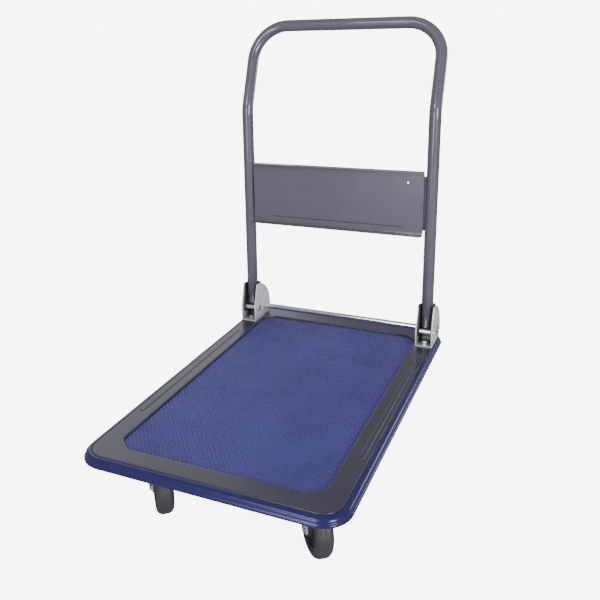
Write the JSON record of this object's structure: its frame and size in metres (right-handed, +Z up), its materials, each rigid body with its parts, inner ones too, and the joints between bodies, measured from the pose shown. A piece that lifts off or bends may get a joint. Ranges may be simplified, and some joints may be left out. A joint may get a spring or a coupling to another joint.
{
  "type": "folding platform cart",
  "caption": "Flat-deck hand cart on casters, with a bent-tube push handle that folds forward onto the deck and a spring-held latch rod at its foot.",
  "frame": {"origin": "on the floor, under the middle of the deck", "axes": "+Z up, +Y toward the handle end, +X to the right seen from the front"},
  "size_m": [0.48, 0.75, 0.845],
  "materials": {
    "blue_paint": "gloss",
    "border_grey": "satin",
    "mat_blue": "satin",
    "zinc": "satin",
    "spring_steel": "satin",
    "chrome": "polished",
    "grey_paint": "gloss",
    "shoe_black": "satin",
    "wheel_core": "matte",
    "tyre": "matte"
  },
  "bodies": {
    "deck": {"deck_pan": "blue_paint", "deck_border": "border_grey", "deck_mat": "mat_blue", "crossmember_front": "blue_paint", "crossmember_rear": "blue_paint", "hinge_bracket_left": "zinc", "hinge_bracket_right": "zinc", "bracket_bolts": "zinc", "bracket_nuts": "zinc", "pivot_pins": "zinc", "spring_pins": "zinc", "latch_springs": "spring_steel", "swivel_plate_left": "zinc", "swivel_plate_right": "zinc", "kingpins": "zinc", "front_caster_bolts": "zinc", "front_caster_nuts": "zinc", "rear_fork_left": "zinc", "rear_fork_right": "zinc", "rear_caster_bolts": "zinc", "rear_caster_nuts": "zinc", "rear_axles": "zinc", "rear_axle_nuts": "zinc"},
    "handle": {"handle_tube": "grey_paint", "cross_plate": "grey_paint", "leg_shoe_left": "shoe_black", "leg_shoe_right": "shoe_black", "pivot_bushes": "zinc"},
    "latch": {"latch_rod": "chrome", "latch_clips": "spring_steel"},
    "fork_left": {"front_fork_left": "zinc", "front_axle_left": "zinc", "front_axle_nut_left": "zinc"},
    "fork_right": {"front_fork_right": "zinc", "front_axle_right": "zinc", "front_axle_nut_right": "zinc"},
    "wheel_front_left": {"wheel_core_front_left": "wheel_core", "tyre_front_left": "tyre"},
    "wheel_front_right": {"wheel_core_front_right": "wheel_core", "tyre_front_right": "tyre"},
    "wheel_rear_left": {"wheel_core_rear_left": "wheel_core", "tyre_rear_left": "tyre"},
    "wheel_rear_right": {"wheel_core_rear_right": "wheel_core", "tyre_rear_right": "tyre"}
  },
  "joints": [
    {"name": "handle_fold", "type": "hinge", "parent": "deck", "child": "handle", "pos_m": [0, 0.2825, 0.175], "axis": [1, 0, 0], "range_deg": [0, 90]},
    {"name": "latch_push", "type": "slide", "parent": "deck", "child": "latch", "axis": [0, 0.9801, -0.1985], "range_m": [0, 0.008], "stiffness_N_per_m": 1500, "deforming": ["latch_springs"]},
    {"name": "swivel_left", "type": "hinge", "parent": "deck", "child": "fork_left", "pos_m": [-0.146, -0.253, 0.11], "axis": [0, 0, 1], "continuous": true},
    {"name": "wheel_front_left_spin", "type": "hinge", "parent": "fork_left", "child": "wheel_front_left", "pos_m": [-0.13106, -0.27178, 0.05], "axis": [0.7826, 0.6225, 0], "continuous": true},
    {"name": "swivel_right", "type": "hinge", "parent": "deck", "child": "fork_right", "pos_m": [0.146, -0.253, 0.11], "axis": [0, 0, 1], "continuous": true},
    {"name": "wheel_front_right_spin", "type": "hinge", "parent": "fork_right", "child": "wheel_front_right", "pos_m": [0.16094, -0.27178, 0.05], "axis": [0.7826, 0.6225, 0], "continuous": true},
    {"name": "wheel_rear_left_spin", "type": "hinge", "parent": "deck", "child": "wheel_rear_left", "pos_m": [-0.146, 0.253, 0.05], "axis": [1, 0, 0], "continuous": true},
    {"name": "wheel_rear_right_spin", "type": "hinge", "parent": "deck", "child": "wheel_rear_right", "pos_m": [0.146, 0.253, 0.05], "axis": [1, 0, 0], "continuous": true}
  ]
}
